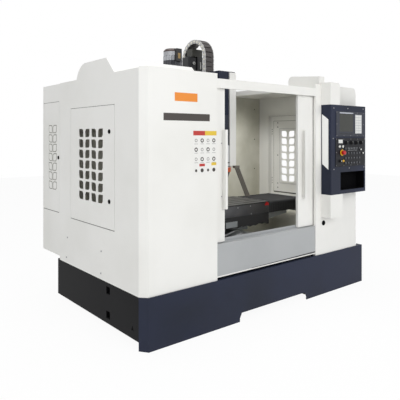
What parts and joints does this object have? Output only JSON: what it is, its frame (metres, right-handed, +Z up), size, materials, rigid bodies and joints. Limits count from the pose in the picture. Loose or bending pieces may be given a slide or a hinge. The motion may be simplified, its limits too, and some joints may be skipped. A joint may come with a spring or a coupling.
{
  "type": "vertical machining centre",
  "caption": "Vertical machining centre: an enclosure with sliding front doors round a spindle head on a column and a T-slot table, with a side operator panel.",
  "frame": {"origin": "centre of the footprint, at floor level", "axes": "+X to the operator's right along the machine's width, +Y from the operator to the back, +Z up"},
  "size_m": [2.644, 1.92, 2.4639],
  "materials": {
    "navy_paint": "dark navy textured powder coat",
    "light_grey_paint": "light warm grey textured powder coat",
    "apron_grey": "mid grey powder coat",
    "black_paint": "near-black powder coat",
    "interior_beige": "beige primer on the inside sheets",
    "casting_grey": "painted cast iron",
    "table_iron": "ground and scraped cast iron",
    "rail_steel": "ground guide steel",
    "cover_steel": "brushed stainless sheet",
    "spindle_steel": "hardened ground steel",
    "cartridge_grey": "light grey enamel",
    "bellows_black": "coated black fabric",
    "chain_plastic": "grey polyamide links",
    "motor_black": "black enamel on a finned housing",
    "window_glass": "laminated clear pane",
    "panel_grey": "grey laminated key panel",
    "screen_black": "dark display glass",
    "stop_red": "moulded red plastic",
    "knob_black": "moulded black plastic",
    "button_white": "moulded white plastic",
    "button_yellow": "moulded yellow plastic",
    "pipe_dark": "segmented coolant pipe",
    "drive_grey": "dark grey drive housings"
  },
  "bodies": {
    "machine": {"front_skirt": "navy_paint", "coolant_tank": "black_paint", "base_side_covers": "black_paint", "levelling_feet": "rail_steel", "bed_casting": "casting_grey", "column_casting": "casting_grey", "guide_rails": "rail_steel", "z_drive": "motor_black", "chip_pan": "interior_beige", "front_panel_left": "light_grey_paint", "front_panel_right": "light_grey_paint", "door_header": "light_grey_paint", "front_apron": "apron_grey", "wall_left": "light_grey_paint", "wall_right": "light_grey_paint", "rear_walls": "interior_beige", "roof_sheets": "light_grey_paint", "roof_hoods": "light_grey_paint", "duct_covers": "light_grey_paint", "operator_box": "navy_paint", "operator_fascia": "panel_grey", "display_unit": "panel_grey", "display_screen": "screen_black", "changer_box": "casting_grey", "changer_motor": "motor_black", "cable_chain": "chain_plastic", "cabinet_shell": "light_grey_paint", "drive_modules": "drive_grey", "way_cover_front": "cover_steel"},
    "saddle": {"saddle_casting": "casting_grey", "x_rails": "rail_steel", "way_cover_saddle": "cover_steel"},
    "table": {"work_table": "table_iron", "x_bellows": "bellows_black"},
    "head": {"head_casting": "navy_paint", "motor_cover": "navy_paint", "head_cover": "light_grey_paint", "spindle_cartridge": "cartridge_grey", "wash_pipes": "pipe_dark"},
    "spindle": {"spindle_nose": "spindle_steel"},
    "cover_plate_1": {"way_cover_1": "cover_steel"},
    "cover_plate_2": {"way_cover_2": "cover_steel"},
    "cover_plate_3": {"way_cover_3": "cover_steel"},
    "left_door": {"door_left": "light_grey_paint", "door_left_window": "window_glass"},
    "right_door": {"door_right": "light_grey_paint", "door_right_window": "window_glass"},
    "left_service_door": {"side_door_left": "light_grey_paint"},
    "right_service_door": {"side_door_right": "light_grey_paint"},
    "cabinet_access_door": {"cabinet_door": "light_grey_paint"},
    "magazine": {"magazine_disc": "rail_steel"},
    "stop_button": {"emergency_stop": "stop_red"},
    "selector": {"mode_selector": "button_white"},
    "knob_1": {"override_knob_1": "knob_black"},
    "knob_2": {"override_knob_2": "knob_black"},
    "knob_3": {"override_knob_3": "knob_black"},
    "knob_4": {"override_knob_4": "knob_black"},
    "white_button": {"button_white": "button_white"},
    "lit_button": {"button_lit": "button_white"},
    "yellow_button": {"button_yellow": "button_yellow"}
  },
  "joints": [
    {"name": "y_axis", "type": "slide", "parent": "machine", "child": "saddle", "axis": [0, 1, 0], "range_m": [-0.304, 0.196]},
    {"name": "x_axis", "type": "slide", "parent": "saddle", "child": "table", "axis": [1, 0, 0], "range_m": [-0.359, 0.441], "deforming": ["x_bellows"]},
    {"name": "z_axis", "type": "slide", "parent": "machine", "child": "head", "axis": [0, 0, 1], "range_m": [-0.04, 0.46], "deforming": ["cable_chain"]},
    {"name": "spindle_turn", "type": "hinge", "parent": "head", "child": "spindle", "pos_m": [-0.047, -0.175, 1.068], "axis": [0, 0, 1], "continuous": true},
    {"name": "left_door_slide", "type": "slide", "parent": "machine", "child": "left_door", "axis": [1, 0, 0], "range_m": [-0.041, 0.5045]},
    {"name": "right_door_slide", "type": "slide", "parent": "machine", "child": "right_door", "axis": [1, 0, 0], "range_m": [-0.3915, 0.09]},
    {"name": "left_service_hinge", "type": "hinge", "parent": "machine", "child": "left_service_door", "pos_m": [-1.316, 0.333, 1.25], "axis": [0, 0, -1], "range_deg": [0, 100]},
    {"name": "right_service_hinge", "type": "hinge", "parent": "machine", "child": "right_service_door", "pos_m": [1.222, 0.333, 1.25], "axis": [0, 0, 1], "range_deg": [0, 100]},
    {"name": "cabinet_hinge", "type": "hinge", "parent": "machine", "child": "cabinet_access_door", "pos_m": [-1.316, 0.937, 1.296], "axis": [0, 0, -1], "range_deg": [0, 110]},
    {"name": "magazine_turn", "type": "hinge", "parent": "machine", "child": "magazine", "pos_m": [-0.6, -0.025, 1.69], "axis": [1, 0, 0], "continuous": true},
    {"name": "stop_press", "type": "slide", "parent": "machine", "child": "stop_button", "axis": [0, 1, 0], "range_m": [0, 0.006], "stiffness_N_per_m": 800},
    {"name": "selector_turn", "type": "hinge", "parent": "machine", "child": "selector", "pos_m": [0.787, -0.921, 1.25], "axis": [0, 1, 0], "range_deg": [-60, 60]},
    {"name": "knob_1_turn", "type": "hinge", "parent": "machine", "child": "knob_1", "pos_m": [0.882, -0.921, 1.421], "axis": [0, 1, 0], "range_deg": [-135, 135]},
    {"name": "knob_2_turn", "type": "hinge", "parent": "machine", "child": "knob_2", "pos_m": [0.968, -0.921, 1.421], "axis": [0, 1, 0], "range_deg": [-135, 135]},
    {"name": "knob_3_turn", "type": "hinge", "parent": "machine", "child": "knob_3", "pos_m": [1.051, -0.921, 1.421], "axis": [0, 1, 0], "range_deg": [-135, 135]},
    {"name": "knob_4_turn", "type": "hinge", "parent": "machine", "child": "knob_4", "pos_m": [1.134, -0.921, 1.421], "axis": [0, 1, 0], "range_deg": [-135, 135]},
    {"name": "white_button_press", "type": "slide", "parent": "machine", "child": "white_button", "axis": [0, 1, 0], "range_m": [0, 0.003], "stiffness_N_per_m": 400},
    {"name": "lit_button_press", "type": "slide", "parent": "machine", "child": "lit_button", "axis": [0, 1, 0], "range_m": [0, 0.003], "stiffness_N_per_m": 400},
    {"name": "yellow_button_press", "type": "slide", "parent": "machine", "child": "yellow_button", "axis": [0, 1, 0], "range_m": [0, 0.003], "stiffness_N_per_m": 400},
    {"name": "cover_1_slide", "type": "slide", "parent": "machine", "child": "cover_plate_1", "axis": [0, 1, 0], "range_m": [-0.076, 0.049]},
    {"name": "cover_2_slide", "type": "slide", "parent": "machine", "child": "cover_plate_2", "axis": [0, 1, 0], "range_m": [-0.152, 0.098]},
    {"name": "cover_3_slide", "type": "slide", "parent": "machine", "child": "cover_plate_3", "axis": [0, 1, 0], "range_m": [-0.228, 0.147]}
  ],
  "couplings": [
    {"joint": "cover_1_slide", "follows": "y_axis", "ratio": 0.25},
    {"joint": "cover_2_slide", "follows": "y_axis", "ratio": 0.5},
    {"joint": "cover_3_slide", "follows": "y_axis", "ratio": 0.75}
  ]
}
